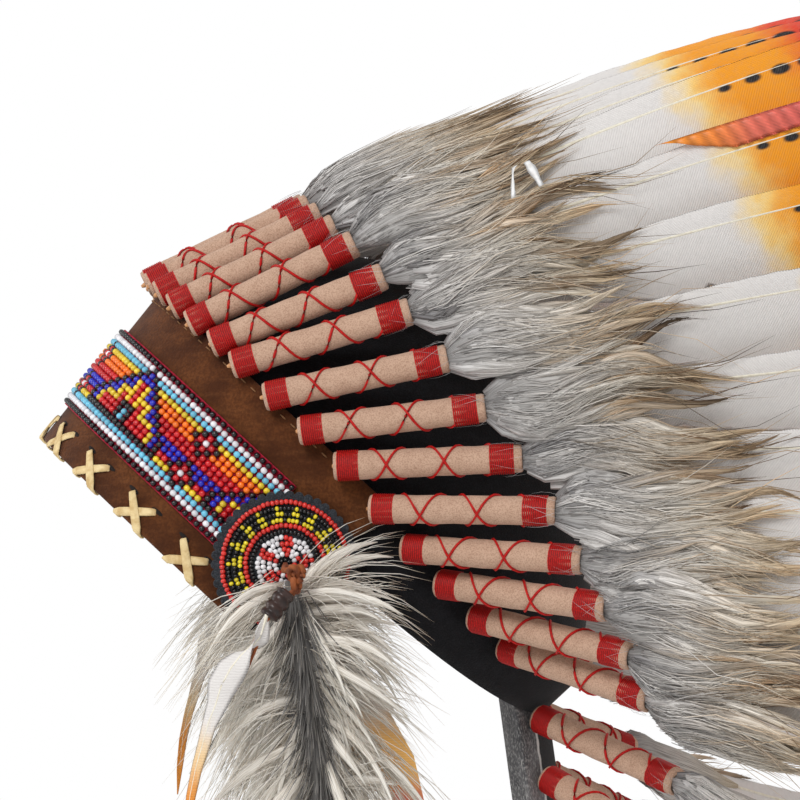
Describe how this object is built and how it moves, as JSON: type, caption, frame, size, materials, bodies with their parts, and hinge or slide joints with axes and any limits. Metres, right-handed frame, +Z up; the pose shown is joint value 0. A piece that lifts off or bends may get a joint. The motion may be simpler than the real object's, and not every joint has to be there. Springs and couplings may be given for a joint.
{
  "type": "feathered headdress",
  "caption": "Feathered headdress: a swept-back row of banded feathers with fur tufts on a suede brow band, with a beaded strip, side rosettes and hanging drops.",
  "frame": {"origin": "centre of the head opening, in the plane of the brow band's lower edge", "axes": "+Z up, -X the front as worn, -Y the wearer's left side; the cap is tipped back 43 degrees about Y, as pictured"},
  "size_m": [0.4573, 0.5178, 0.4477],
  "materials": {
    "felt_black": "black wool felt, matt",
    "suede": "brown suede, matt",
    "seed_beads": "rows of small glossy glass beads, patterned",
    "lace_leather": "pale buckskin, matt",
    "backing_cloth": "dark felt, cut edge",
    "dark_leather": "dark brown leather, worn",
    "feather": "white feather with orange, red and black bands, felt wrap and fur tuft",
    "fur": "long soft cream and grey fur"
  },
  "bodies": {
    "root": {"felt_cap": "felt_black", "brow_band": "suede", "bead_strip": "seed_beads", "edge_lacing": "lace_leather", "rosette_backing_left": "backing_cloth", "rosette_beads_left": "seed_beads", "rosette_backing_right": "backing_cloth", "rosette_beads_right": "seed_beads", "feather_centre": "feather", "feather_01_left": "feather", "feather_01_right": "feather", "feather_02_left": "feather", "feather_02_right": "feather", "feather_03_left": "feather", "feather_03_right": "feather", "feather_04_left": "feather", "feather_04_right": "feather", "feather_05_left": "feather", "feather_05_right": "feather", "feather_06_left": "feather", "feather_06_right": "feather", "feather_07_left": "feather", "feather_07_right": "feather", "feather_08_left": "feather", "feather_08_right": "feather", "feather_09_left": "feather", "feather_09_right": "feather", "feather_10_left": "feather", "feather_10_right": "feather", "feather_11_left": "feather", "feather_11_right": "feather", "feather_12_left": "feather", "feather_12_right": "feather", "feather_13_left": "feather", "feather_13_right": "feather", "feather_14_left": "feather", "feather_14_right": "feather", "feather_15_left": "feather", "feather_15_right": "feather", "feather_16_left": "feather", "feather_16_right": "feather", "drop_tie_left": "lace_leather", "drop_wrap_left": "dark_leather", "drop_laces_left": "dark_leather", "drop_tail_left": "fur", "drop_feather_curled_left": "feather", "drop_feather_flat_left": "feather", "drop_tie_right": "lace_leather", "drop_wrap_right": "dark_leather", "drop_laces_right": "dark_leather", "drop_tail_right": "fur", "drop_feather_curled_right": "feather", "drop_feather_flat_right": "feather"}
  },
  "joints": []
}
